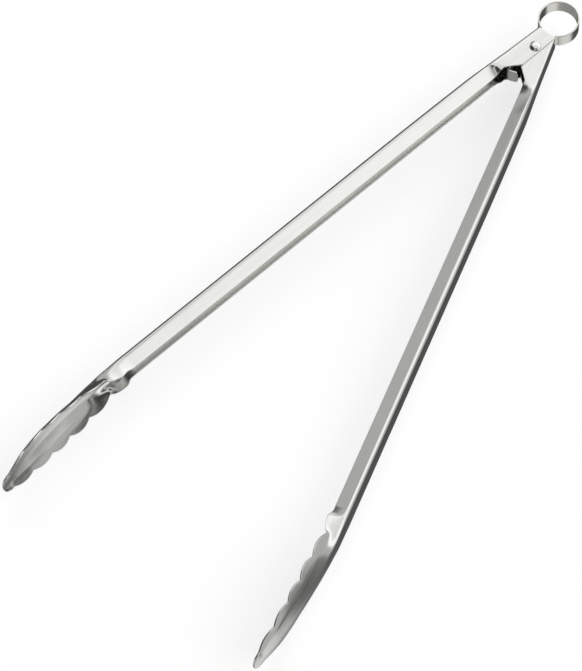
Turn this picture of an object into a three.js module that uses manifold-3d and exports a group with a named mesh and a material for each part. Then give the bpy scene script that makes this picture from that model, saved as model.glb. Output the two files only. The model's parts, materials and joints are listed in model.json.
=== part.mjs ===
// Spring loaded kitchen tongs: two stamped steel arms with scalloped jaws, a pivot rivet, a torsion
// spring and a sliding lock ring. Millimetres, +Z up along the pivot axis, jaws towards -Y.
// Each arm is laid out in its own frame: u runs from the pivot to the jaw tip, v points inwards,
// towards the other arm, and z is height above the tongs' middle plane.
import * as THREE from "three";
import { mergeVertices } from "three/addons/utils/BufferGeometryUtils.js";
import Module from "manifold-3d";

const wasm = await Module();
wasm.setup();

// Driving dimensions
const SHEET = 0.9; // thickness of the stamped steel
const OPEN_ANGLE = 13.03; // degrees between each arm and the middle of the open tongs
const RUNNING_GAP = 0.3; // clearance between pieces that pass each other
const ARM_LENGTH = 400.2; // pivot to jaw tip
const OUTER_EAR_HALF = 8.25; // half height of the outer arm's ears
const INNER_EAR_HALF = OUTER_EAR_HALF - SHEET - RUNNING_GAP;
const RIVET_RADIUS = 2;
const RIVET_HEAD_RADIUS = 3.45;
const RIVET_HEAD_HEIGHT = 1.6;
const RING_RADIUS = 11.65; // middle of the ring's strip
const RING_CENTRE_Y = 24.3;
const STRIP_HALF_WIDTH = 5.06;
const NECK_HALF_WIDTH = 3.6; // the legs are narrower where the spring passes them
const NECK_START_Y = -17.2;
const LIP_HALF_WIDTH = 5.7;
const LEG_X = 4.2; // the strip's two legs straddle the spring
const LEG_LEAN_Y = -9; // below here the long leg leans outwards
const ELBOW = { x: -5.8, y: -21.1 }; // corner, before rounding, where the long leg turns into the lip
const ELBOW_REACH = 2.7; // how far the rounding of the elbow reaches either way
const LIP_END = { x: 0.8, y: -18.9 };
const LIP_CHAMFER = 1.2;
const SHORT_LEG_Y = -12;
const WIRE_RADIUS = 0.5;
const COIL_RADIUS = 2.75;
const COIL_HALF_HEIGHT = 4.85;
const COIL_WHOLE_TURNS = 5;
const SPRING_FOOT = { u: 14, v: -8.05 }; // where a spring end rests against an arm's back
const SHOULDER_Z = 9; // top of the arm's rounded shoulders
const EAR_EDGE_V = 3.8;
const EAR_BEND_U = 13.8; // the ears' inner edge turns outwards here
const EAR_END_U = 22.3;
const EAR_TAIL_U = -11.5; // the ears' tail, at the arm's middle line
const OUTER_TAIL_RADIUS = 1.6; // rounding of the corner between the ears' tail and free edge
const INNER_TAIL_RADIUS = 6.1; // larger, so that it swings clear of the outer arm's back
const TAIL_LEAN = -0.165; // the tail edge leans, in mm of u for each mm of v
const JAW_START_U = 319.7;

// Where each line of the arm's section runs, as [u, value] pairs joined by smooth curves
const BACK_V = [[-13, -8.7], [14, -9.7], [24, -10.2], [45, -11.2], [110, -11.7], [318, -11.75],
  [330, -11.2], [350, -9.2], [366, -6.9], [380, -3.8], [390, -0.8], [ARM_LENGTH, 3]];
const CREASE_V = [[EAR_END_U, -2.45], [23.4, -4.7], [26.3, -7.8], [31, -9], [301, -9.1], [311, -8.4],
  [JAW_START_U, -7]];
const PANEL_EDGE_V = [[EAR_END_U, -2.1], [34, -1.9], [301, -1.95], [305, -2.3], [309.5, -1], [313, -1.4],
  [316.5, -2.5], [JAW_START_U, -5.1]];
const PANEL_EDGE_Z = [[28, 5.4], [33, 4.4], [301, 4.6], [305, 6], [309, 8], [313, 8.9], [316.5, 9.7],
  [JAW_START_U, 10.7]];
const CREASE_ROUNDING = [[EAR_END_U, 0.8], [32, 4], [80, 1.6]];
const SHOULDER_REACH = [[8, 1.1], [40, 1.7]]; // distance of the shoulder's two bends from its corner
const JAW_BACK_Z = [[JAW_START_U, 6.4], [336, 5], [365, 2.6], [ARM_LENGTH, 0.5]]; // half the jaw's flat back

// Bottoms of the scallops between the jaw's lobes: position along the arm, inward offset, height
const NOTCHES = [[JAW_START_U, -5.1, 10.7], [336.2, -4.5, 16.1], [351.2, -3.9, 17.7],
  [364.9, -2.7, 17.9], [379.5, -0.8, 15.5], [393.6, 2.2, 9.7]];
const LOBE_HEIGHTS = [2.7, 2.9, 2.65, 2.2, 2];
const RIM_LEAN = [[JAW_START_U, 38], [ARM_LENGTH, 26]]; // degrees the rim leans towards the other jaw
const RIM_DEPTH = 3.5; // how much of the jaw's side leans like the rim
const TIP_V = 3.3; // inward offset of the jaw's tip
const TIP_HALF_WIDTH = 1.2; // width left flat at the very tip

const rad = THREE.MathUtils.degToRad;
const lerp = THREE.MathUtils.lerp;

// Smooth curve through [x, y] pairs that never overshoots them (monotone cubic)
function smooth(keys, x) {
  const last = keys.length - 1;
  if (x <= keys[0][0]) return keys[0][1];
  if (x >= keys[last][0]) return keys[last][1];
  const i = keys.findIndex((key) => key[0] > x) - 1;
  const slope = (k) => (keys[k + 1][1] - keys[k][1]) / (keys[k + 1][0] - keys[k][0]);
  const tangent = (k) => {
    if (k === 0 || k === last) return slope(Math.min(k, last - 1));
    const before = slope(k - 1);
    const after = slope(k);
    return before * after <= 0 ? 0 : (2 * before * after) / (before + after);
  };
  const span = keys[i + 1][0] - keys[i][0];
  const t = (x - keys[i][0]) / span;
  return (
    keys[i][1] * (1 + 2 * t) * (1 - t) ** 2 + keys[i + 1][1] * t * t * (3 - 2 * t) +
    span * (tangent(i) * t * (1 - t) ** 2 - tangent(i + 1) * t * t * (1 - t))
  );
}

// The line through the notches at u, as [v, z], and how far a lobe stands beyond it
function notchLine(u) {
  const [tipStartU, tipStartV, tipStartZ] = NOTCHES.at(-1);
  if (u >= tipStartU) {
    const s = Math.min((u - tipStartU) / (ARM_LENGTH - tipStartU), 1);
    const roundness = Math.max((1 - s ** 2.2) ** (1 / 2.2), TIP_HALF_WIDTH / tipStartZ);
    return { v: lerp(tipStartV, TIP_V, s), z: tipStartZ * roundness, lobe: 0 };
  }
  const i = NOTCHES.findIndex((notch) => notch[0] > u) - 1;
  const s = (u - NOTCHES[i][0]) / (NOTCHES[i + 1][0] - NOTCHES[i][0]);
  const v = smooth(NOTCHES.map((notch) => [notch[0], notch[1]]), u);
  const z = smooth(NOTCHES.map((notch) => [notch[0], notch[2]]), u);
  return { v, z, lobe: 4 * LOBE_HEIGHTS[i] * s * (1 - s) };
}

// The free edge of the ears at u: straight, then cut away towards the arm, with a rounded tail corner
function earEdge(u, tailRadius) {
  const cut = Math.max(0, (u - EAR_BEND_U) / (EAR_END_U - EAR_BEND_U));
  const intoTail = Math.max(0, tailRadius - (u - EAR_TAIL_U));
  const tailCut = tailRadius - Math.sqrt(tailRadius ** 2 - intoTail ** 2);
  return lerp(EAR_EDGE_V, PANEL_EDGE_V[0][1], cut) - tailCut;
}

const corner = (v, z, rounding) => new THREE.Vector3(v, z, rounding);

// The shoulders stand higher than the ears, and rise to their full height along the arm
function shoulderTop(u, earHalf) {
  return smooth([[EAR_BEND_U, earHalf], [EAR_END_U, earHalf + 0.3], [44, SHOULDER_Z]], u);
}

// Upper half of the arm's outer skin at u, from the back to the free edge: two bends of the shoulder,
// the crease and the edge, each as a vector of v, z and the rounding of the corner
function earCorners(u, earHalf, tailRadius) {
  const back = smooth(BACK_V, u);
  const reach = smooth(SHOULDER_REACH, u);
  const top = shoulderTop(u, earHalf);
  const edge = earEdge(u, tailRadius);
  const crease = lerp(edge, back, smooth([[EAR_BEND_U, 0.4], [EAR_END_U, 0.04]], u));
  return [corner(back, top - reach, 2), corner(back + reach, top, 2),
    corner(crease, earHalf, 0.8), corner(edge, earHalf, 0)];
}

// The same for the handle, a rounded channel with a flat panel bent inwards
function handleCorners(u, earHalf) {
  const back = smooth(BACK_V, u);
  const reach = smooth(SHOULDER_REACH, u);
  const top = shoulderTop(u, earHalf);
  const creaseZ = lerp(earHalf, top, smooth([[EAR_END_U, 0], [27, 1]], u));
  const edgeZ = smooth([[EAR_END_U, earHalf], [25, earHalf - 0.5], ...PANEL_EDGE_Z], u);
  return [corner(back, top - reach, 2), corner(back + reach, top, 2),
    corner(smooth(CREASE_V, u), creaseZ, smooth(CREASE_ROUNDING, u)),
    corner(smooth(PANEL_EDGE_V, u), edgeZ, 0)];
}

// The same for the jaw, a shallow trough whose sides lean further inwards at the rim
function jawCorners(u) {
  const { v, z, lobe } = notchLine(Math.max(u, JAW_START_U));
  const lean = rad(smooth(RIM_LEAN, u));
  const alongRim = new THREE.Vector3(Math.sin(lean), Math.cos(lean), 0);
  const edge = corner(v, z, 0).addScaledVector(alongRim, lobe);
  const rimFoot = corner(v, z, 6).addScaledVector(alongRim, -Math.min(RIM_DEPTH, 0.3 * z));
  const back = corner(smooth(BACK_V, u), Math.min(smooth(JAW_BACK_Z, u), 0.6 * z), 6);
  return [back, back.clone().lerp(rimFoot, 0.5), rimFoot, edge];
}

function sectionCorners(u, earHalf, tailRadius) {
  if (u <= EAR_END_U) return earCorners(u, earHalf, tailRadius);
  const corners = handleCorners(u, earHalf);
  const intoJaw = smooth([[307, 0], [327, 1]], u);
  if (intoJaw === 0) return corners;
  const jaw = jawCorners(u);
  const edge = u < JAW_START_U ? corners[3] : jaw[3];
  return [...corners.slice(0, 3).map((place, i) => place.lerp(jaw[i], intoJaw)), edge];
}

// Corners (v, z, rounding) as a chain of points, each inner corner eased over its rounding length
function roundCorners(corners, steps) {
  const points = corners.map((corner) => new THREE.Vector2(corner.x, corner.y));
  const chain = [];
  for (let i = 1; i < points.length - 1; i++) {
    const reach = (neighbour) => {
      const away = neighbour.clone().sub(points[i]);
      const length = Math.min(corners[i].z, 0.45 * away.length());
      return points[i].clone().addScaledVector(away.normalize(), length);
    };
    const curve = new THREE.QuadraticBezierCurve(reach(points[i - 1]), points[i], reach(points[i + 1]));
    chain.push(...curve.getPoints(steps[i - 1]));
  }
  chain.push(points.at(-1));
  return chain;
}

// Whole section of the sheet at u: its outer skin from one free edge to the other, and its inner skin
function sheetSection(u, earHalf, tailRadius) {
  const corners = sectionCorners(u, earHalf, tailRadius);
  const half = roundCorners([new THREE.Vector3(corners[0].x, 0, 0), ...corners], [2, 2, 2]);
  const outer = [...half.map((p) => new THREE.Vector2(p.x, -p.y)).reverse(), ...half];
  const inner = outer.map((point, i) => {
    const before = outer[Math.max(i - 1, 0)];
    const after = outer[Math.min(i + 1, outer.length - 1)];
    const along = after.clone().sub(before).normalize();
    return point.clone().add(new THREE.Vector2(along.y, -along.x).multiplyScalar(SHEET));
  });
  return { outer, inner };
}

// Places along the arm where a section is drawn: close together wherever the outline turns
function armStations(tailRadius) {
  const stations = [0, 0.08, 0.3, 0.6, 1].map((t) => EAR_TAIL_U + tailRadius * t);
  stations.push(2, 9, EAR_BEND_U, 18, 20.5, EAR_END_U, 22.8, 23.6, 25, 26.5, 28, 30, 33, 38, 55);
  stations.push(110, 200, 290, 301, 304, 307, 309, 311, 313, 314.5, 316, 317.5, 318.8);
  const perLobe = 6;
  NOTCHES.slice(0, -1).forEach(([start], i) => {
    for (let k = 0; k < perLobe; k++) {
      stations.push(lerp(start, NOTCHES[i + 1][0], k / perLobe));
    }
  });
  const tipStart = NOTCHES.at(-1)[0];
  return [...stations, ...[0, 0.35, 0.6, 0.8, 0.93, 1].map((t) => lerp(tipStart, ARM_LENGTH, t))];
}

// Closed solid of the bent sheet: outer and inner skins, the free edges, and both ends
function sheetSolid(stations, earHalf, tailRadius) {
  const positions = [];
  const index = [];
  const rows = stations.map((u) => {
    const { outer, inner } = sheetSection(u, earHalf, tailRadius);
    const lean = smooth([[EAR_TAIL_U, TAIL_LEAN], [EAR_BEND_U, 0]], u);
    const place = (p) => positions.push(u + lean * p.x, p.x, p.y) / 3 - 1;
    return [...outer.map(place), ...inner.map(place).reverse()];
  });
  const around = rows[0].length;
  const half = around / 2;
  for (let i = 0; i < rows.length - 1; i++) {
    for (let k = 0; k < around; k++) {
      const next = (k + 1) % around;
      index.push(rows[i][k], rows[i + 1][k], rows[i + 1][next]);
      index.push(rows[i][k], rows[i + 1][next], rows[i][next]);
    }
  }
  for (let k = 0; k < half - 1; k++) {
    const mate = around - 1 - k;
    const first = rows[0];
    const last = rows.at(-1);
    index.push(first[k], first[k + 1], first[mate - 1], first[k], first[mate - 1], first[mate]);
    index.push(last[k], last[mate - 1], last[k + 1], last[k], last[mate], last[mate - 1]);
  }
  const geometry = new THREE.BufferGeometry();
  geometry.setAttribute("position", new THREE.Float32BufferAttribute(positions, 3));
  geometry.setIndex(index);
  return geometry;
}

function toManifold(geometry) {
  const bare = geometry.clone();
  bare.deleteAttribute("normal");
  bare.deleteAttribute("uv");
  const merged = mergeVertices(bare, 1e-4);
  const vertProperties = new Float32Array(merged.attributes.position.array);
  const triVerts = new Uint32Array(merged.index.array);
  return new wasm.Manifold(new wasm.Mesh({ numProp: 3, vertProperties, triVerts }));
}

function toGeometry(solid) {
  const mesh = solid.getMesh();
  const geometry = new THREE.BufferGeometry();
  geometry.setAttribute("position", new THREE.Float32BufferAttribute(mesh.vertProperties, 3));
  geometry.setIndex([...mesh.triVerts]);
  return geometry;
}

function steel(name, color, roughness) {
  return new THREE.MeshStandardMaterial({ name, color, roughness, metalness: 1 });
}

// One stamped arm with the rivet hole through both ears, in its own frame
function arm(name, earHalf, tailRadius, color) {
  const hole = new THREE.CylinderGeometry(RIVET_RADIUS + RUNNING_GAP, RIVET_RADIUS + RUNNING_GAP, 30, 20);
  hole.rotateX(Math.PI / 2);
  const sheet = toManifold(sheetSolid(armStations(tailRadius), earHalf, tailRadius));
  const drilled = toGeometry(sheet.subtract(toManifold(hole)));
  const mesh = new THREE.Mesh(drilled, steel(name + "_steel", color, 0.32));
  mesh.name = name;
  return mesh;
}

// Turns an arm's frame (u, v, z) into the tongs' frame, opened to the given side: -1 left, 1 right
function poseArm(mesh, side) {
  const open = rad(OPEN_ANGLE);
  const alongU = new THREE.Vector3(side * Math.sin(open), -Math.cos(open), 0);
  const inwardV = new THREE.Vector3(-side * Math.cos(open), -Math.sin(open), 0);
  const upZ = new THREE.Vector3(0, 0, 1);
  mesh.geometry.applyMatrix4(new THREE.Matrix4().makeBasis(alongU, inwardV, upZ));
  if (side > 0) flipFaces(mesh.geometry);
  return mesh;
}

// Mirroring an arm turns its faces inside out, so each triangle is wound the other way
function flipFaces(geometry) {
  const index = geometry.index;
  for (let i = 0; i < index.count; i += 3) {
    const second = index.getX(i + 1);
    index.setX(i + 1, index.getX(i + 2));
    index.setX(i + 2, second);
  }
}

// Rivet with a domed head above and below the outer arm's ears
function rivet() {
  const seat = OUTER_EAR_HALF + 0.1;
  const dome = [0, 22.5, 45, 67.5, 90].map(rad).map(
    (a) => new THREE.Vector2(RIVET_HEAD_RADIUS * Math.cos(a), seat + RIVET_HEAD_HEIGHT * Math.sin(a)));
  dome[4].x = 0;
  const upper = [new THREE.Vector2(RIVET_RADIUS, seat), ...dome];
  const lower = upper.map((p) => new THREE.Vector2(p.x, -p.y)).reverse();
  const geometry = new THREE.LatheGeometry([...lower, ...upper], 20);
  geometry.rotateX(Math.PI / 2);
  const mesh = new THREE.Mesh(geometry, steel("rivet_steel", 0xd8d8d8, 0.08));
  mesh.name = "pivot_rivet";
  return mesh;
}

// Torsion spring: a coil round the rivet whose ends run out along the two arms' backs
class SpringPath extends THREE.Curve {
  constructor() {
    super();
    const pivot = new THREE.Vector2();
    this.foot = new THREE.Vector2(SPRING_FOOT.v, -SPRING_FOOT.u).rotateAround(pivot, -rad(OPEN_ANGLE));
    const toFoot = Math.atan2(this.foot.y, this.foot.x) + 2 * Math.PI;
    this.start = toFoot - Math.acos(COIL_RADIUS / this.foot.length());
    this.turn = COIL_WHOLE_TURNS * 2 * Math.PI + 2 * this.start - Math.PI;
    this.legLength = Math.sqrt(this.foot.lengthSq() - COIL_RADIUS ** 2);
    this.coilLength = this.turn * COIL_RADIUS;
  }

  getPoint(t, target = new THREE.Vector3()) {
    const s = t * (2 * this.legLength + this.coilLength) - this.legLength;
    const onCoil = THREE.MathUtils.clamp(s, 0, this.coilLength);
    const angle = this.start - (this.turn * onCoil) / this.coilLength;
    const past = s - onCoil; // length run out along a straight end, negative on the first one
    const z = COIL_HALF_HEIGHT * (1 - (2 * onCoil) / this.coilLength);
    return target.set(
      COIL_RADIUS * Math.cos(angle) + past * Math.sin(angle),
      COIL_RADIUS * Math.sin(angle) - past * Math.cos(angle),
      z,
    );
  }
}

function spring() {
  const wire = new THREE.Shape();
  wire.absarc(0, 0, WIRE_RADIUS, 0, 2 * Math.PI);
  const options = { steps: 130, curveSegments: 3, bevelEnabled: false, extrudePath: new SpringPath() };
  const mesh = new THREE.Mesh(new THREE.ExtrudeGeometry(wire, options), steel("spring_wire", 0x9a9a98, 0.35));
  mesh.name = "torsion_spring";
  return mesh;
}

// Middle line of the lock strip: lip, elbow, long leg, ring, short leg
function stripLine() {
  const line = new THREE.Path();
  const elbow = new THREE.Vector2(ELBOW.x, ELBOW.y);
  const lipEnd = new THREE.Vector2(LIP_END.x, LIP_END.y);
  const leanStart = new THREE.Vector2(-LEG_X, LEG_LEAN_Y);
  const fromElbow = (target) => target.clone().sub(elbow).setLength(ELBOW_REACH).add(elbow);
  const neckY = RING_CENTRE_Y - Math.sqrt(RING_RADIUS ** 2 - LEG_X ** 2);
  const neckAngle = Math.atan2(neckY - RING_CENTRE_Y, -LEG_X) - rad(9);
  line.moveTo(lipEnd.x, lipEnd.y);
  line.lineTo(...fromElbow(lipEnd));
  line.quadraticCurveTo(elbow.x, elbow.y, ...fromElbow(leanStart));
  line.lineTo(leanStart.x, leanStart.y);
  line.lineTo(-LEG_X, neckY - 2.2);
  const join = new THREE.Vector2(Math.cos(neckAngle), Math.sin(neckAngle)).multiplyScalar(RING_RADIUS);
  line.quadraticCurveTo(-LEG_X, neckY - 0.4, join.x, RING_CENTRE_Y + join.y);
  line.absarc(0, RING_CENTRE_Y, RING_RADIUS, neckAngle, Math.PI - neckAngle, true);
  line.quadraticCurveTo(LEG_X, neckY - 0.4, LEG_X, neckY - 2.2);
  line.lineTo(LEG_X, SHORT_LEG_Y);
  return line.getPoints(18);
}

// Closed outline of a strip of sheet that follows a line
function bandShape(line) {
  const offset = (distance) => line.map((point, i) => {
    const along = line[Math.min(i + 1, line.length - 1)].clone().sub(line[Math.max(i - 1, 0)]).normalize();
    return new THREE.Vector2(point.x - along.y * distance, point.y + along.x * distance);
  });
  return new THREE.Shape([...offset(SHEET / 2), ...offset(-SHEET / 2).reverse()]);
}

// Box used as a cutter, its middle at (x, y, z), turned about the y axis
function cutter(size, [x, y, z], turn = 0) {
  const box = new THREE.BoxGeometry(...size);
  box.rotateY(turn);
  box.translate(x, y, z);
  return toManifold(box);
}

function lockRing() {
  const width = 2 * LIP_HALF_WIDTH;
  const strip = new THREE.ExtrudeGeometry(bandShape(stripLine()), { depth: width, bevelEnabled: false });
  strip.translate(0, 0, -LIP_HALF_WIDTH);
  const neckEndY = RING_CENTRE_Y - RING_RADIUS - 2.2;
  const neckLength = neckEndY - NECK_START_Y;
  const ringSpan = 2 * RING_RADIUS + 10;
  const chamfer = Math.SQRT2 * LIP_CHAMFER;
  let solid = toManifold(strip);
  for (const side of [-1, 1]) {
    const besideNeck = [0, NECK_START_Y + neckLength / 2, side * (NECK_HALF_WIDTH + 5)];
    const besideRing = [0, neckEndY + ringSpan / 2, side * (STRIP_HALF_WIDTH + 5)];
    solid = solid.subtract(cutter([30, neckLength, 10], besideNeck));
    solid = solid.subtract(cutter([30, ringSpan, 10], besideRing));
    const atLipCorner = [LIP_END.x, LIP_END.y, side * LIP_HALF_WIDTH];
    solid = solid.subtract(cutter([chamfer, 10, chamfer], atLipCorner, rad(45)));
  }
  const mesh = new THREE.Mesh(toGeometry(solid), steel("ring_steel", 0xcfcdc4, 0.25));
  mesh.name = "lock_ring";
  return mesh;
}

const outerArm = poseArm(arm("outer_arm", OUTER_EAR_HALF, OUTER_TAIL_RADIUS, 0xc4c4c2), -1);
const innerArm = poseArm(arm("inner_arm", INNER_EAR_HALF, INNER_TAIL_RADIUS, 0xb4b4b2), 1);

// The tongs lie level, the jaws' lower edges at z = 0, centred over the origin
const tongs = new THREE.Group();
tongs.add(outerArm, innerArm, rivet(), spring(), lockRing());
const extent = new THREE.Box3().setFromObject(tongs);
const middle = extent.getCenter(new THREE.Vector3());
tongs.position.set(-middle.x, -middle.y, -extent.min.z);

export default tongs;
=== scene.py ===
"""Spring loaded kitchen tongs: the fine visual model and its studio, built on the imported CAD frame."""
import json
import math

import bpy
from mathutils import Matrix, Vector


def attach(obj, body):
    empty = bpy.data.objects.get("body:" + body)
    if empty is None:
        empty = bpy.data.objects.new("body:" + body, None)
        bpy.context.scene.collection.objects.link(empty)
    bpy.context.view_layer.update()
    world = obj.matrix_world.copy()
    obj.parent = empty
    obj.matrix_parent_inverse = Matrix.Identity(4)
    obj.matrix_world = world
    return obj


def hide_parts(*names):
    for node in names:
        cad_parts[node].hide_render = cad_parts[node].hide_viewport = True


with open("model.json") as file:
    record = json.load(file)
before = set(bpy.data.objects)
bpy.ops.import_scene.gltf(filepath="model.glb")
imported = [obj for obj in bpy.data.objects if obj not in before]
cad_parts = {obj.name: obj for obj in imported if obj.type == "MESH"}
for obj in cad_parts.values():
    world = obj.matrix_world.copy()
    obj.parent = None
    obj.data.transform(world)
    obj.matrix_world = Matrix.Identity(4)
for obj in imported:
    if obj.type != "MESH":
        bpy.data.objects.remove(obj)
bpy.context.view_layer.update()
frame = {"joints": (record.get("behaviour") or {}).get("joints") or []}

MM = 0.001

# The pivot axis, from the frame: every shape below is laid out in millimetres around it
HINGE = next(j for j in frame["joints"] if j["name"] == "left_arm_hinge")
PIVOT = Vector(HINGE["pos_m"])

# Camera, placed round the pivot: degrees, metres, and the lens in millimetres
CAMERA_AZIMUTH = 46.803
CAMERA_ELEVATION = 66.764
CAMERA_ROLL = -11.089
CAMERA_DISTANCE = 1.4045
CAMERA_ASIDE = -0.14298      # how far the aim lies to the right of the pivot
CAMERA_ABOVE = -0.16535      # and how far above it, in the picture's plane
CAMERA_LENS = 128.66

# The studio: its plain tone, and soft patches on its walls, each as the direction of its middle (degrees
# round from +X, degrees up), the angles where it starts and ends fading, and its tone. A later patch
# covers an earlier one. Near, far, left and right are as the camera sees them.
STUDIO_TONE = 0.45
STUDIO_PATCHES = [
    (58, 62, 40, 60, 1.1),       # ceiling panel, high on the right
    (112, 20, 10, 26, 1),        # window on the far wall
    (341, 84, 4, 50, 0.78),      # pale ceiling overhead
    (334, 69, 6, 18, 0.05),      # dark spot beside the camera
    (232, 36, 36, 50, 0.05),     # dark wall on the left
    (328, 15, 14, 36, 0.04),     # dark doorway in the near wall
    (149, -2, 12, 25, 0.06),     # dark corner in the far wall
    (146, -40, 13, 34, 0.06),    # and the shade below it
    (223, -85, 24, 36, 0.23),    # dim ground right below
    (3, -61, 15, 31, 0.72),      # pale ground, near right
    (24, -22, 3, 14, 0.18),      # dark band low on the right
    (25, -40, 7, 18, 0.15),      # and its lower part
    (68, -50, 20, 33, 0.08),     # shade on the right, towards the far wall
    (137, -67, 3, 16, 0.04),     # shade low on the far side
]
FLOOR_GLOW = 0.62
FLOOR_TONE = 0.75
FLOOR_ROUGHNESS = 0.9
FLOOR_REACH = 6              # metres from the middle to each side

# Finishes: colour, roughness, and how many waves the grain has in a metre along x, y and z
ARM_FINISH = ((0.9, 0.9, 0.875), 0.17, (14, 700, 700))
RING_FINISH = ((0.88, 0.865, 0.81), 0.2, (500, 500, 1200))
RIVET_FINISH = ((0.93, 0.93, 0.92), 0.08, (600, 600, 600))
WIRE_FINISH = ((0.5, 0.5, 0.49), 0.32, (400, 400, 400))
STREAKS = 0.04               # how far the grain moves the roughness up and down
RIVET_STREAKS = 0.02
GRAIN_DETAIL = 3
GRAIN_TINT = 0.93            # the grain's darker lines, against the colour
GRAIN_BUMP = 0.12
GRAIN_DEPTH = 0.0001
SMUDGE_SCALE = 45
SMUDGE_DETAIL = 4
SMUDGE_ROUGHNESS = (-0.03, 0.04)     # what the smudges add, from least to most
NOISE_RANGE = (0.3, 0.7)     # nearly all of a noise's values lie in here

# Driving dimensions of the tongs, in millimetres and degrees, as in the CAD
SHEET = 0.9
RIM_ROUNDING = 0.22          # the sheet's cut edges are eased
RIM_LEAD = 2.5               # a point this many roundings back keeps the skin flat up to the easing
RIM_BULGE = 0.3              # the middle of an eased edge lies this many roundings in, both ways
OPEN_ANGLE = 13.03
RUNNING_GAP = 0.3
ARM_LENGTH = 400.2
OUTER_EAR_HALF = 8.25
INNER_EAR_HALF = OUTER_EAR_HALF - SHEET - RUNNING_GAP
RIVET_HEAD_RADIUS = 3.45
RIVET_HEAD_HEIGHT = 1.6
RIVET_SHANK_RADIUS = 1.9
RIVET_CLEARANCE = 0.02       # between the head and the ear
DOME_FULLNESS = 0.8          # 1 is an ellipse, less is fuller
RING_RADIUS = 11.65
RING_CENTRE_Y = 24.3
STRIP_HALF_WIDTH = 5.06
STRIP_BEVEL = 0.18
FLARE_ANGLE = 9              # how far round the ring its flare into a leg reaches
FLARE_START = 2.2            # how far below the ring's neck the flare starts
FLARE_CORNER = 0.4           # and where its corner lies
NECK_HALF_WIDTH = 3.6
NECK_START_Y = -17.2
LIP_HALF_WIDTH = 5.7
WIDTH_CHANGE = 1.2           # length over which the strip narrows
LEG_X = 4.2
LEG_LEAN_Y = -9
ELBOW = Vector((-5.8, -21.1, 0))
ELBOW_REACH = 2.7
LIP_END = Vector((0.8, -18.9, 0))
LIP_ROUNDING = 2
SHORT_LEG_Y = -12
WIRE_RADIUS = 0.5
COIL_RADIUS = 2.75
COIL_HALF_HEIGHT = 4.85
COIL_WHOLE_TURNS = 5
SPARE_WIRE = 13              # degrees of wire that stay wound on when an end swings inwards
SPRING_FOOT = (14, -8.05)

SHOULDER_Z = 9
SHOULDER_FULL_U = 44
SHOULDER_ROUNDING = 2
EAR_END_RISE = 0.3           # how far the shoulder stands above the ears where they end
EAR_EDGE_V = 3.8
EAR_BEND_U = 13.8
EAR_END_U = 22.3
EAR_TAIL_U = -11.5
OUTER_TAIL_RADIUS = 1.6
INNER_TAIL_RADIUS = 6.1
TAIL_LEAN = -0.165
JAW_START_U = 319.7

# Where each line of the arm's section runs, as (u, value) pairs joined by smooth curves. u runs along the
# arm from the pivot, v towards the other arm, and z along the pivot.
BACK_V = [(-13, -8.7), (14, -9.7), (24, -10.2), (45, -11.2), (110, -11.7), (318, -11.75), (330, -11.2),
          (350, -9.2), (366, -6.9), (380, -3.8), (390, -0.8), (ARM_LENGTH, 3)]
CREASE_V = [(EAR_END_U, -2.45), (23.4, -4.7), (26.3, -7.8), (31, -9), (301, -9.1), (311, -8.4),
            (JAW_START_U, -7)]
PANEL_EDGE_V = [(EAR_END_U, -2.1), (34, -1.9), (301, -1.95), (305, -2.3), (309.5, -1), (313, -1.4),
                (316.5, -2.5), (JAW_START_U, -5.1)]
PANEL_EDGE_Z = [(28, 5.4), (33, 4.4), (301, 4.6), (305, 6), (309, 8), (313, 8.9), (316.5, 9.7),
                (JAW_START_U, 10.7)]
PANEL_START_U = 25
PANEL_START_DROP = 0.5       # how far the panel's edge has come down there
CREASE_ROUNDING = [(EAR_END_U, 0.8), (32, 4), (80, 1.6)]
EAR_CREASE_SHARE = [(EAR_BEND_U, 0.4), (EAR_END_U, 0.04)]    # of the way from the edge to the back
CREASE_RISE = [(EAR_END_U, 0), (27, 1)]                      # from the ears' height to the shoulder's
INTO_JAW = [(307, 0), (327, 1)]                              # from the handle's section to the jaw's
SHOULDER_REACH = [(8, 1.1), (40, 1.7)]
JAW_BACK_Z = [(JAW_START_U, 6.4), (336, 5), (365, 2.6), (ARM_LENGTH, 0.5)]
RIM_LEAN = [(JAW_START_U, 38), (ARM_LENGTH, 26)]             # degrees
# The notches in the jaw's rim, as (u, v, z), and how far each lobe between them stands out
NOTCHES = [(JAW_START_U, -5.1, 10.7), (336.2, -4.5, 16.1), (351.2, -3.9, 17.7), (364.9, -2.7, 17.9),
           (379.5, -0.8, 15.5), (393.6, 2.2, 9.7)]
LOBE_HEIGHTS = [2.7, 2.9, 2.65, 2.2, 2]
RIM_DEPTH = 3.5
RIM_SHARE = 0.3              # the most of the jaw's half width that the rim takes up
BACK_SHARE = 0.6             # and the most that the flat of its back takes up
JAW_ROUNDING = 6
CORNER_SHARE = 0.45          # the most of a line that the rounding at one of its ends takes up
TIP_V = 3.3
TIP_HALF_WIDTH = 1.2
TIP_SQUARENESS = 2.2         # 2 is an ellipse, more is blunter

# How finely the shapes are drawn
CORNER_STEPS = 6
TAIL_STEPS = 8
# After the tail's rounding, (where a run of sections ends, how many it has)
ARM_RUNS = [(6, 6), (EAR_BEND_U, 6), (EAR_END_U, 10), (35, 50), (60, 12), (290, 30), (JAW_START_U, 50)]
LOBE_STEPS = 16
TIP_STEPS = 16
WIRE_SIDES = 14
COIL_STEPS = 36              # in one turn
DOME_STEPS = 24
RIVET_SIDES = 72
LIP_STEPS = 24
ELBOW_STEPS = 16
LEG_STEPS = 40
FLARE_STEPS = 10
RING_STEPS = 96
SHARP_ANGLE = 30             # degrees; edges that turn by more stay sharp
SOFT_SHARP_ANGLE = 50        # the same on the arms and the rivet


def lerp(a, b, t):
    return a + (b - a) * t


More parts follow.
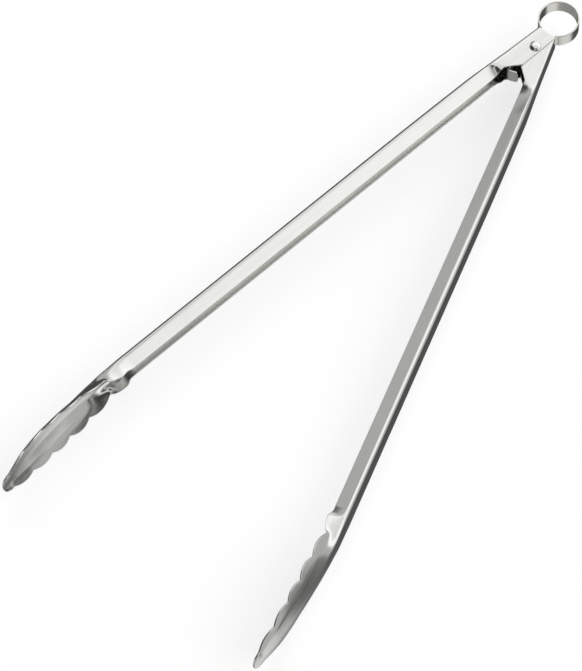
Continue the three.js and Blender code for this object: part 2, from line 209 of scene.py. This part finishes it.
def smooth(keys, x):
    """Monotone cubic curve through (x, y) pairs: it never overshoots them."""
    if x <= keys[0][0]:
        return keys[0][1]
    if x >= keys[-1][0]:
        return keys[-1][1]
    last = len(keys) - 1
    i = next(k for k, key in enumerate(keys) if key[0] > x) - 1

    def slope(k):
        return (keys[k + 1][1] - keys[k][1]) / (keys[k + 1][0] - keys[k][0])

    def tangent(k):
        if k in (0, last):
            return slope(min(k, last - 1))
        before, after = slope(k - 1), slope(k)
        return 0 if before * after <= 0 else 2 * before * after / (before + after)

    span = keys[i + 1][0] - keys[i][0]
    t = (x - keys[i][0]) / span
    return (keys[i][1] * (1 + 2 * t) * (1 - t) ** 2 + keys[i + 1][1] * t * t * (3 - 2 * t)
            + span * (tangent(i) * t * (1 - t) ** 2 - tangent(i + 1) * t * t * (1 - t)))


def notch_line(u):
    """The line through the notches at u, as v and z, and how far a lobe stands beyond it."""
    start_u, start_v, start_z = NOTCHES[-1]
    if u >= start_u:
        s = min((u - start_u) / (ARM_LENGTH - start_u), 1)
        roundness = max((1 - s ** TIP_SQUARENESS) ** (1 / TIP_SQUARENESS), TIP_HALF_WIDTH / start_z)
        return lerp(start_v, TIP_V, s), start_z * roundness, 0
    i = next(k for k, notch in enumerate(NOTCHES) if notch[0] > u) - 1
    s = (u - NOTCHES[i][0]) / (NOTCHES[i + 1][0] - NOTCHES[i][0])
    v = smooth([(n[0], n[1]) for n in NOTCHES], u)
    z = smooth([(n[0], n[2]) for n in NOTCHES], u)
    return v, z, 4 * LOBE_HEIGHTS[i] * s * (1 - s)


def ear_edge(u, tail_radius):
    """v of the ears' free edge: straight, then cut away towards the arm, with a rounded tail corner."""
    cut = max(0, (u - EAR_BEND_U) / (EAR_END_U - EAR_BEND_U))
    into_tail = max(0, tail_radius - (u - EAR_TAIL_U))
    tail_cut = tail_radius - math.sqrt(max(0, tail_radius ** 2 - into_tail ** 2))
    return lerp(EAR_EDGE_V, PANEL_EDGE_V[0][1], cut) - tail_cut


def shoulder_top(u, ear_half):
    """The shoulders stand higher than the ears, and rise to their full height along the arm."""
    ear_end = (EAR_END_U, ear_half + EAR_END_RISE)
    return smooth([(EAR_BEND_U, ear_half), ear_end, (SHOULDER_FULL_U, SHOULDER_Z)], u)


def shoulder_corners(u, ear_half):
    """The two bends of the shoulder, nearest the back first."""
    back = smooth(BACK_V, u)
    reach = smooth(SHOULDER_REACH, u)
    top = shoulder_top(u, ear_half)
    return [Vector((back, top - reach, SHOULDER_ROUNDING)), Vector((back + reach, top, SHOULDER_ROUNDING))]


def ear_corners(u, ear_half, tail_radius):
    """Upper half of the arm's outer skin at u, from the back to the free edge: two bends of the shoulder,
    the crease and the edge, each as (v, z, rounding)."""
    edge = ear_edge(u, tail_radius)
    crease = lerp(edge, smooth(BACK_V, u), smooth(EAR_CREASE_SHARE, u))
    return shoulder_corners(u, ear_half) + [Vector((crease, ear_half, smooth(CREASE_ROUNDING, u))),
                                            Vector((edge, ear_half, 0))]


def handle_corners(u, ear_half):
    """The same for the handle, a rounded channel with a flat panel bent inwards."""
    crease_z = lerp(ear_half, shoulder_top(u, ear_half), smooth(CREASE_RISE, u))
    panel_start = (PANEL_START_U, ear_half - PANEL_START_DROP)
    edge_z = smooth([(EAR_END_U, ear_half), panel_start, *PANEL_EDGE_Z], u)
    crease = Vector((smooth(CREASE_V, u), crease_z, smooth(CREASE_ROUNDING, u)))
    return shoulder_corners(u, ear_half) + [crease, Vector((smooth(PANEL_EDGE_V, u), edge_z, 0))]


def jaw_corners(u):
    """The same for the jaw, a shallow trough whose sides lean further inwards at the rim."""
    v, z, lobe = notch_line(max(u, JAW_START_U))
    lean = math.radians(smooth(RIM_LEAN, u))
    along_rim = Vector((math.sin(lean), math.cos(lean), 0))
    edge = Vector((v, z, 0)) + along_rim * lobe
    rim_foot = Vector((v, z, JAW_ROUNDING)) - along_rim * min(RIM_DEPTH, RIM_SHARE * z)
    back = Vector((smooth(BACK_V, u), min(smooth(JAW_BACK_Z, u), BACK_SHARE * z), JAW_ROUNDING))
    return [back, back.lerp(rim_foot, 0.5), rim_foot, edge]


def section_corners(u, ear_half, tail_radius):
    """The corners at u, wherever it lies: the handle's section turns into the jaw's along the neck."""
    if u <= EAR_END_U:
        return ear_corners(u, ear_half, tail_radius)
    corners = handle_corners(u, ear_half)
    into_jaw = smooth(INTO_JAW, u)
    if into_jaw == 0:
        return corners
    jaw = jaw_corners(u)
    edge = corners[3] if u < JAW_START_U else jaw[3]
    return [a.lerp(b, into_jaw) for a, b in zip(corners[:3], jaw)] + [edge]


def round_corners(corners):
    """Corners (v, z, rounding) as a chain of points, each inner corner eased over its rounding length."""
    points = [c.to_2d() for c in corners]
    chain = []
    for i in range(1, len(points) - 1):
        ends = []
        for neighbour in (points[i - 1], points[i + 1]):
            away = neighbour - points[i]
            ends.append(points[i] + away.normalized() * min(corners[i].z, CORNER_SHARE * away.length))
        chain += bezier(ends[0], points[i], ends[1], CORNER_STEPS)
    chain.append(points[-1])
    return chain


def rolled_rim(before, outside, inside):
    """Points round the rounded rim, on the outer skin and on the inner one; before lies up the outer skin."""
    across = inside - outside
    back = (before - outside).normalized() * RIM_ROUNDING
    quarter = across.normalized() * RIM_ROUNDING
    first = [outside + back * RIM_LEAD, outside + back, outside + (back + quarter) * RIM_BULGE,
             outside + quarter]
    last = [inside - quarter, inside + (back - quarter) * RIM_BULGE, inside + back,
            inside + back * RIM_LEAD]
    return first, last


def sheet_section(u, ear_half, tail_radius):
    """Closed section of the sheet at u: its outer skin, one rim, its inner skin and the other rim."""
    corners = section_corners(u, ear_half, tail_radius)
    middle = Vector((corners[0].x, 0, 0))
    half = round_corners([middle, *corners])
    outer = [Vector((p.x, -p.y)) for p in reversed(half)] + [middle.to_2d()] + half
    inner = []
    for i, point in enumerate(outer):
        along = (outer[min(i + 1, len(outer) - 1)] - outer[max(i - 1, 0)]).normalized()
        inner.append(point + Vector((along.y, -along.x)) * SHEET)
    first, last = rolled_rim(outer[-2], outer[-1], inner[-1])
    upper_rim = first + last
    lower_rim = [Vector((p.x, -p.y)) for p in reversed(upper_rim)]
    return outer[1:-1] + upper_rim + inner[-2:0:-1] + lower_rim


def spread(a, b, count):
    """count places from a up to, but not including, b."""
    return [lerp(a, b, k / count) for k in range(count)]


def arm_stations(tail_radius):
    """Where the arm's sections lie along it: closest together where its shape changes most."""
    stations = []
    for k in range(TAIL_STEPS):
        stations.append(EAR_TAIL_U + tail_radius * (1 - math.cos(math.pi / 2 * k / TAIL_STEPS)))
    start = EAR_TAIL_U + tail_radius
    for end, count in ARM_RUNS:
        stations += spread(start, end, count)
        start = end
    for a, b in zip(NOTCHES, NOTCHES[1:]):
        stations += spread(a[0], b[0], LOBE_STEPS)
    start = NOTCHES[-1][0]
    for k in range(TIP_STEPS + 1):
        stations.append(lerp(start, ARM_LENGTH, math.sin(math.pi / 2 * k / TIP_STEPS)))
    return stations


def new_object(name, vertices, faces, sharp_angle=SHARP_ANGLE):
    """A smooth piece that keeps its edges sharp where they turn by more than sharp_angle, in degrees."""
    mesh = bpy.data.meshes.new(name)
    mesh.from_pydata(vertices, [], faces)
    mesh.validate()
    mesh.shade_smooth()
    mesh.set_sharp_from_angle(angle=math.radians(sharp_angle))
    obj = bpy.data.objects.new(name, mesh)
    bpy.context.scene.collection.objects.link(obj)
    return obj


def number_rings(vertices, count):
    """The numbers of the vertices of each ring, when count equal rings were added one after another."""
    around = len(vertices) // count
    return [range(i * around, (i + 1) * around) for i in range(count)]


def join_rings(rings, reverse=False):
    """Faces between each ring and the next. reverse winds them the other way round."""
    faces = []
    for a, b in zip(rings, rings[1:]):
        for k in range(len(a)):
            n = (k + 1) % len(a)
            faces.append((a[k], b[k], b[n], a[n]) if reverse else (a[k], a[n], b[n], b[k]))
    return faces


def solid(name, sections, sharp_angle=SHARP_ANGLE):
    """Solid through closed sections, lists of points round the pivot in millimetres, with flat ends."""
    vertices = [PIVOT + point * MM for section in sections for point in section]
    rings = number_rings(vertices, len(sections))
    ends = [tuple(reversed(rings[0])), tuple(rings[-1])]
    return new_object(name, vertices, join_rings(rings) + ends, sharp_angle)


def arm_frame(side):
    """Matrix from an arm's own frame (u, v, z) to the open tongs, on the left (side -1) or the right (1)."""
    opening = math.radians(OPEN_ANGLE)
    along = Vector((side * math.sin(opening), -math.cos(opening), 0))
    inward = Vector((-side * math.cos(opening), -math.sin(opening), 0))
    turn = Matrix((along, inward, along.cross(inward))).transposed().to_4x4()
    return Matrix.Translation(PIVOT) @ turn


def arm(name, ear_half, tail_radius, side):
    """One stamped arm: sections of the bent sheet joined along the arm."""
    place = arm_frame(side)
    vertices = []
    stations = arm_stations(tail_radius)
    for u in stations:
        lean = smooth([(EAR_TAIL_U, TAIL_LEAN), (EAR_BEND_U, 0)], u)
        for p in sheet_section(u, ear_half, tail_radius):
            vertices.append(place @ (Vector((u + lean * p.x, p.x, p.y)) * MM))
    rings = number_rings(vertices, len(stations))
    faces = join_rings(rings, reverse=True)
    first, last = rings[0], rings[-1]
    for k in range(len(first) // 2 - 1):
        m = len(first) - 1 - k
        faces.append((first[k], first[k + 1], first[m - 1], first[m]))
        faces.append((last[k], last[m], last[m - 1], last[k + 1]))
    return new_object(name, vertices, faces, SOFT_SHARP_ANGLE)


def sweep(name, path, shapes):
    """Solid that carries a closed shape along a path. Each point has its shape: (sideways, up) offsets.

    Its faces are wound inwards.
    """
    sections = []
    for i, (point, shape) in enumerate(zip(path, shapes)):
        ahead = (path[min(i + 1, len(path) - 1)] - path[max(i - 1, 0)]).normalized()
        sideways = ahead.cross(Vector((0, 0, 1))).normalized()
        up = sideways.cross(ahead)
        sections.append([point + sideways * a + up * b for a, b in shape])
    return solid(name, sections)


def wire(name, path):
    """Round wire along a path."""
    angles = [2 * math.pi * k / WIRE_SIDES for k in range(WIRE_SIDES)]
    circle = [(WIRE_RADIUS * math.cos(a), WIRE_RADIUS * math.sin(a)) for a in angles]
    return sweep(name, path, [circle] * len(path))


def spring_pieces():
    """The coil, and the two straight ends that press on the arms."""
    u, v = SPRING_FOOT
    foot = Matrix.Rotation(-math.radians(OPEN_ANGLE), 2) @ Vector((v, -u))
    start = math.atan2(foot.y, foot.x) + 2 * math.pi - math.acos(COIL_RADIUS / foot.length)
    turn = COIL_WHOLE_TURNS * 2 * math.pi + 2 * start - math.pi
    run = math.sqrt(foot.length_squared - COIL_RADIUS ** 2)
    spare = math.radians(SPARE_WIRE)

    def on_coil(angle, z):
        return Vector((COIL_RADIUS * math.cos(angle), COIL_RADIUS * math.sin(angle), z))

    count = COIL_STEPS * (COIL_WHOLE_TURNS + 1)
    path = []
    for k in range(count + 1):
        t = k / count
        path.append(on_coil(start + spare - (turn + 2 * spare) * t, COIL_HALF_HEIGHT * (1 - 2 * t)))
    pieces = [(wire("spring_coil", path), "pivot")]
    for name, body, mirror, z in (("spring_end_left", "left_arm", 1, COIL_HALF_HEIGHT),
                                  ("spring_end_right", "right_arm", -1, -COIL_HALF_HEIGHT)):
        root = on_coil(start, z)
        heading = Vector((-math.sin(start), math.cos(start), 0))
        ends = [root + heading * run * t for t in (0, 0.5, 1)]
        path = [Vector((p.x * mirror, p.y, p.z)) for p in ends]
        pieces.append((wire(name, path), body))
    return pieces


def rivet():
    """A shank with a low dome above and below, turned round the pivot's axis."""
    seat = OUTER_EAR_HALF + RIVET_CLEARANCE
    profile = [(RIVET_SHANK_RADIUS, seat), (RIVET_HEAD_RADIUS, seat)]
    for k in range(DOME_STEPS):
        a = math.pi / 2 * k / DOME_STEPS
        radius = RIVET_HEAD_RADIUS * math.cos(a) ** DOME_FULLNESS
        profile.append((radius, seat + RIVET_HEAD_HEIGHT * math.sin(a)))
    whole = [(r, -z) for r, z in reversed(profile)] + profile
    angles = [2 * math.pi * k / RIVET_SIDES for k in range(RIVET_SIDES)]
    sections = [[Vector((r * math.cos(a), r * math.sin(a), z)) for a in angles] for r, z in whole]
    return solid("rivet", sections, SOFT_SHARP_ANGLE)


def bezier(a, b, c, count):
    """Points from a to c on a curve that heads for b first."""
    steps = [k / count for k in range(count + 1)]
    return [a * (1 - t) ** 2 + b * 2 * t * (1 - t) + c * t * t for t in steps]


def spread_line(a, b, count):
    """Points from a to b, both included."""
    return [a.lerp(b, k / count) for k in range(count + 1)]


def strip_line():
    """Middle line of the lock strip: lip, elbow, long leg, ring, short leg."""
    neck_y = RING_CENTRE_Y - math.sqrt(RING_RADIUS ** 2 - LEG_X ** 2)
    neck_angle = math.atan2(neck_y - RING_CENTRE_Y, -LEG_X) - math.radians(FLARE_ANGLE)

    def on_ring(angle):
        return Vector((RING_RADIUS * math.cos(angle), RING_CENTRE_Y + RING_RADIUS * math.sin(angle), 0))

    lean_start = Vector((-LEG_X, LEG_LEAN_Y, 0))
    leg_end = Vector((-LEG_X, neck_y - FLARE_START, 0))
    before = ELBOW + (LIP_END - ELBOW).normalized() * ELBOW_REACH
    after = ELBOW + (lean_start - ELBOW).normalized() * ELBOW_REACH
    lip = spread_line(LIP_END, before, LIP_STEPS)
    elbow = bezier(before, ELBOW, after, ELBOW_STEPS)
    leg = spread_line(after, lean_start, LIP_STEPS) + spread_line(lean_start, leg_end, LEG_STEPS)[1:]
    flare = bezier(leg_end, Vector((-LEG_X, neck_y - FLARE_CORNER, 0)), on_ring(neck_angle), FLARE_STEPS)
    turn_end = -3 * math.pi - neck_angle     # clockwise all the way to the mirror image of the start
    ring = [on_ring(lerp(neck_angle, turn_end, k / RING_STEPS)) for k in range(1, RING_STEPS)]
    flare_back = [Vector((-p.x, p.y, 0)) for p in reversed(flare)]
    short = spread_line(flare_back[-1], Vector((LEG_X, SHORT_LEG_Y, 0)), LEG_STEPS)
    return lip + elbow[1:] + leg[1:] + flare[1:] + ring + flare_back + short[1:]


def strip_half_width(point):
    """Half width of the lock strip: rounded end, wide lip, narrow neck past the spring, ring."""
    neck_end = RING_CENTRE_Y - RING_RADIUS - FLARE_START
    inside = min(point.y - NECK_START_Y, neck_end - point.y)
    wide = STRIP_HALF_WIDTH if point.y > 0 else LIP_HALF_WIDTH
    width = lerp(wide, NECK_HALF_WIDTH, min(max(inside / WIDTH_CHANGE, 0), 1))
    from_end = (point - LIP_END).length
    if from_end < LIP_ROUNDING:
        width -= LIP_ROUNDING - math.sqrt(LIP_ROUNDING ** 2 - (LIP_ROUNDING - from_end) ** 2)
    return width


def strip_section(width):
    """The strip's bevelled section, for a half width."""
    thick = SHEET / 2
    flat_width, flat_thick = width - STRIP_BEVEL, thick - STRIP_BEVEL
    half = [(thick, -flat_width), (thick, flat_width), (flat_thick, width), (-flat_thick, width)]
    return half + [(-x, -y) for x, y in half]


def lock_ring():
    """The lock strip with its finger ring, in one piece."""
    path = strip_line()
    return sweep("ring_strip", path, [strip_section(strip_half_width(point)) for point in path])


def grey(tone):
    return (tone, tone, tone, 1)


def add_node(tree, kind, settings, inputs):
    """A new node with its settings, whose inputs are set to values or linked to other nodes' outputs."""
    node = tree.nodes.new(kind)
    for key, value in settings.items():
        setattr(node, key, value)
    for key, value in inputs.items():
        if isinstance(value, bpy.types.NodeSocket):
            tree.links.new(value, node.inputs[key])
        else:
            node.inputs[key].default_value = value
    return node


def noise(tree, place, scale, detail):
    inputs = {"Vector": place, "Scale": scale, "Detail": detail}
    return add_node(tree, "ShaderNodeTexNoise", {}, inputs).outputs["Fac"]


def fit_noise(tree, value, low, high):
    """A noise's usual values, made to run from low to high."""
    usual_low, usual_high = NOISE_RANGE
    inputs = {"Value": value, "From Min": usual_low, "From Max": usual_high, "To Min": low, "To Max": high}
    return add_node(tree, "ShaderNodeMapRange", {}, inputs).outputs["Result"]


def mix_colors(tree, share, a, b):
    """a where share is 0, and b where it is 1."""
    inputs = {"Factor": share, "A": a, "B": b}
    return add_node(tree, "ShaderNodeMix", {"data_type": "RGBA"}, inputs).outputs["Result"]


def steel(name, finish, streaks=STREAKS, heading=0):
    """Satin steel: fine grain drawn out along x once x is turned to the heading, and soft smudges."""
    color, roughness, waves = finish
    material = bpy.data.materials.new(name)
    material.use_nodes = True
    tree = material.node_tree
    place = tree.nodes.new("ShaderNodeTexCoord").outputs["Object"]
    drawn_out = {"Vector": place, "Rotation": (0, 0, heading), "Scale": [1 / count for count in waves]}
    stretch = add_node(tree, "ShaderNodeMapping", {"vector_type": "TEXTURE"}, drawn_out)
    grain = noise(tree, stretch.outputs["Vector"], 1, GRAIN_DETAIL)
    smudge = noise(tree, place, SMUDGE_SCALE, SMUDGE_DETAIL)
    uneven = {0: fit_noise(tree, grain, roughness - streaks, roughness + streaks),
              1: fit_noise(tree, smudge, *SMUDGE_ROUGHNESS)}
    rough = add_node(tree, "ShaderNodeMath", {"operation": "ADD"}, uneven)
    relief = {"Strength": GRAIN_BUMP, "Distance": GRAIN_DEPTH, "Height": grain}
    bump = add_node(tree, "ShaderNodeBump", {}, relief)
    darker = (*(c * GRAIN_TINT for c in color), 1)
    tint = mix_colors(tree, fit_noise(tree, grain, 0, 1), darker, (*color, 1))
    shader = tree.nodes["Principled BSDF"]
    shader.inputs["Metallic"].default_value = 1
    tree.links.new(rough.outputs["Value"], shader.inputs["Roughness"])
    tree.links.new(tint, shader.inputs["Base Color"])
    tree.links.new(bump.outputs["Normal"], shader.inputs["Normal"])
    return material


def arm_steel(name, side):
    """The arms' steel, its grain running along the arm on that side."""
    along = arm_frame(side).col[0]
    return steel(name, ARM_FINISH, heading=math.atan2(along.y, along.x))


def dress(obj, material, body, node):
    """Gives a piece its material and its body, and hides the CAD node it stands for."""
    obj.data.materials.append(material)
    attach(obj, body)
    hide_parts(node)


def build_tongs():
    """All the pieces, each in place of its CAD node."""
    outer = arm("arm_outer", OUTER_EAR_HALF, OUTER_TAIL_RADIUS, -1)
    inner = arm("arm_inner", INNER_EAR_HALF, INNER_TAIL_RADIUS, 1)
    dress(outer, arm_steel("arm_steel_left", -1), "left_arm", "outer_arm")
    dress(inner, arm_steel("arm_steel_right", 1), "right_arm", "inner_arm")
    dress(rivet(), steel("rivet_steel", RIVET_FINISH, RIVET_STREAKS), "pivot", "pivot_rivet")
    dress(lock_ring(), steel("ring_steel", RING_FINISH), "ring", "lock_ring")
    wire_steel = steel("spring_wire", WIRE_FINISH)
    for piece, body in spring_pieces():
        dress(piece, wire_steel, body, "torsion_spring")


def floor():
    """A pale glowing floor, which the steel doesn't mirror: it mirrors the studio's walls instead."""
    mesh = bpy.data.meshes.new("floor")
    corners = [(-FLOOR_REACH, -FLOOR_REACH, 0), (FLOOR_REACH, -FLOOR_REACH, 0),
               (FLOOR_REACH, FLOOR_REACH, 0), (-FLOOR_REACH, FLOOR_REACH, 0)]
    mesh.from_pydata(corners, [], [(0, 1, 2, 3)])
    obj = bpy.data.objects.new("floor", mesh)
    bpy.context.scene.collection.objects.link(obj)
    material = bpy.data.materials.new("floor_white")
    material.use_nodes = True
    shader = material.node_tree.nodes["Principled BSDF"]
    shader.inputs["Base Color"].default_value = grey(FLOOR_TONE)
    shader.inputs["Roughness"].default_value = FLOOR_ROUGHNESS
    shader.inputs["Emission Color"].default_value = grey(1)
    shader.inputs["Emission Strength"].default_value = FLOOR_GLOW
    mesh.materials.append(material)
    obj.visible_glossy = False


def camera():
    azimuth, elevation, roll = (math.radians(a) for a in (CAMERA_AZIMUTH, CAMERA_ELEVATION, CAMERA_ROLL))
    back = Vector((math.sin(azimuth) * math.cos(elevation), -math.cos(azimuth) * math.cos(elevation),
                   math.sin(elevation)))
    level = Vector((math.cos(azimuth), math.sin(azimuth), 0))
    right = level * math.cos(roll) + back.cross(level) * math.sin(roll)
    up = back.cross(right)
    data = bpy.data.cameras.new("camera")
    data.lens = CAMERA_LENS
    obj = bpy.data.objects.new("camera", data)
    bpy.context.scene.collection.objects.link(obj)
    place = PIVOT + right * CAMERA_ASIDE + up * CAMERA_ABOVE + back * CAMERA_DISTANCE
    turn = Matrix((right, up, back)).transposed().to_4x4()
    obj.matrix_world = Matrix.Translation(place) @ turn
    bpy.context.scene.camera = obj


def toward(around, up):
    """Direction so many degrees round from +X and so many up."""
    around, up = math.radians(around), math.radians(up)
    level = math.cos(up)
    return Vector((level * math.cos(around), level * math.sin(around), math.sin(up)))


def studio_light():
    """A pale studio all round, with soft patches of brighter and darker wall, and white behind the tongs."""
    world = bpy.data.worlds.new("studio")
    bpy.context.scene.world = world
    world.use_nodes = True
    tree = world.node_tree
    direction = tree.nodes.new("ShaderNodeTexCoord").outputs["Generated"]
    color = grey(STUDIO_TONE)
    for around, up, inner, outer, tone in STUDIO_PATCHES:
        middle = {0: direction, 1: toward(around, up)}
        facing = add_node(tree, "ShaderNodeVectorMath", {"operation": "DOT_PRODUCT"}, middle)
        edges = {"Value": facing.outputs["Value"], "From Min": math.cos(math.radians(outer)),
                 "From Max": math.cos(math.radians(inner))}
        fade = add_node(tree, "ShaderNodeMapRange", {"interpolation_type": "SMOOTHSTEP"}, edges)
        color = mix_colors(tree, fade.outputs["Result"], color, grey(tone))
    seen_directly = tree.nodes.new("ShaderNodeLightPath").outputs["Is Camera Ray"]
    backdrop = mix_colors(tree, seen_directly, color, grey(1))
    tree.links.new(backdrop, tree.nodes["Background"].inputs["Color"])


camera()
build_tongs()
floor()
studio_light()
bpy.context.scene.view_settings.view_transform = "Standard"

bpy.context.view_layer.update()
